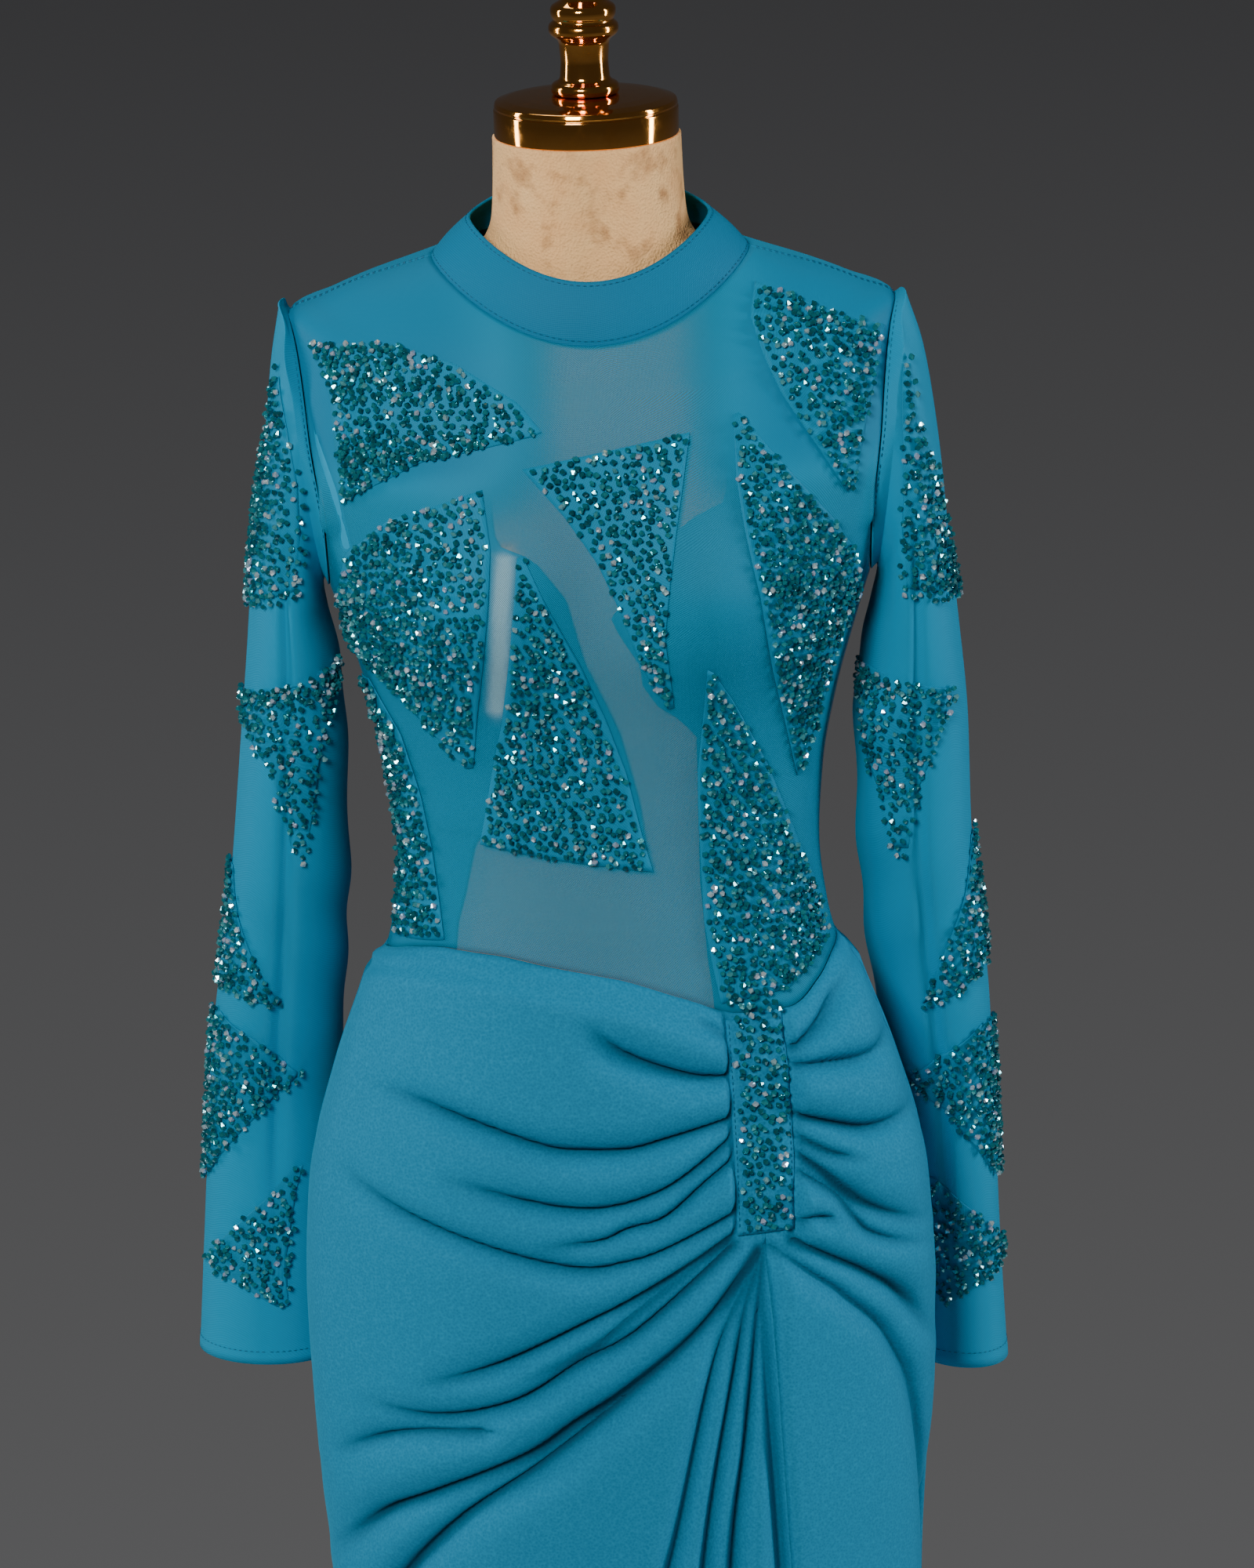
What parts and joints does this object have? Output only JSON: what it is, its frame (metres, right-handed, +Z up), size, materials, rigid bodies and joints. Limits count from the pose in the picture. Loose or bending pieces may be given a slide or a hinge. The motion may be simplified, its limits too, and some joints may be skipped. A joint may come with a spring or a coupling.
{
  "type": "evening dress on a dress form",
  "caption": "Long-sleeved floor-length evening dress with stand collar, sheer beaded bodice, beaded hip strip and gathered skirt, standing on a limbless dress form with a round base.",
  "frame": {"origin": "centre of the underside of the stand's round base", "axes": "+Z up along the pole, -Y the way the front of the dress faces, +X the wearer's left"},
  "size_m": [0.5372, 0.4894, 1.641],
  "materials": {
    "mesh": "fine stretch mesh",
    "lining": "plain opaque lining",
    "crepe": "matt crepe with a fine grain",
    "beads": "close-set faceted crystals",
    "velvet": "cream velvet cover",
    "brass": "polished",
    "zip_tape": "woven tape",
    "zip_metal": "enamel"
  },
  "bodies": {
    "dress_on_form": {"form_body": "velvet", "neck_cap": "brass", "finial": "brass", "pole": "brass", "base": "brass", "collar": "mesh", "bodice_front": "mesh", "bodice_back_left": "mesh", "bodice_back_right": "mesh", "sleeve_left": "mesh", "sleeve_right": "mesh", "lining_left": "lining", "lining_right": "lining", "skirt_front_drape": "crepe", "skirt_front_side": "crepe", "skirt_back": "crepe", "beaded_strip": "beads", "patch_shoulder_right": "beads", "patch_shoulder_left": "beads", "patch_centre": "beads", "patch_bust_right": "beads", "patch_front_right": "beads", "patch_side_left": "beads", "patch_waist_right": "beads", "patch_waist_left": "beads", "patch_sleeve_left_head": "beads", "patch_sleeve_left_upper": "beads", "patch_sleeve_left_elbow": "beads", "patch_sleeve_left_lower": "beads", "patch_sleeve_left_cuff": "beads", "patch_sleeve_right_head": "beads", "patch_sleeve_right_upper": "beads", "patch_sleeve_right_elbow": "beads", "patch_sleeve_right_lower": "beads", "patch_sleeve_right_cuff": "beads", "zip_tape": "zip_tape", "zip_slider": "zip_metal"},
    "zip_pull_tab": {"zip_pull": "zip_metal"}
  },
  "joints": [
    {"name": "zip_pull_swing", "type": "hinge", "parent": "dress_on_form", "child": "zip_pull_tab", "pos_m": [0, 0.06481, 1.49953], "axis": [1, 0, 0], "range_deg": [0, 150]}
  ]
}
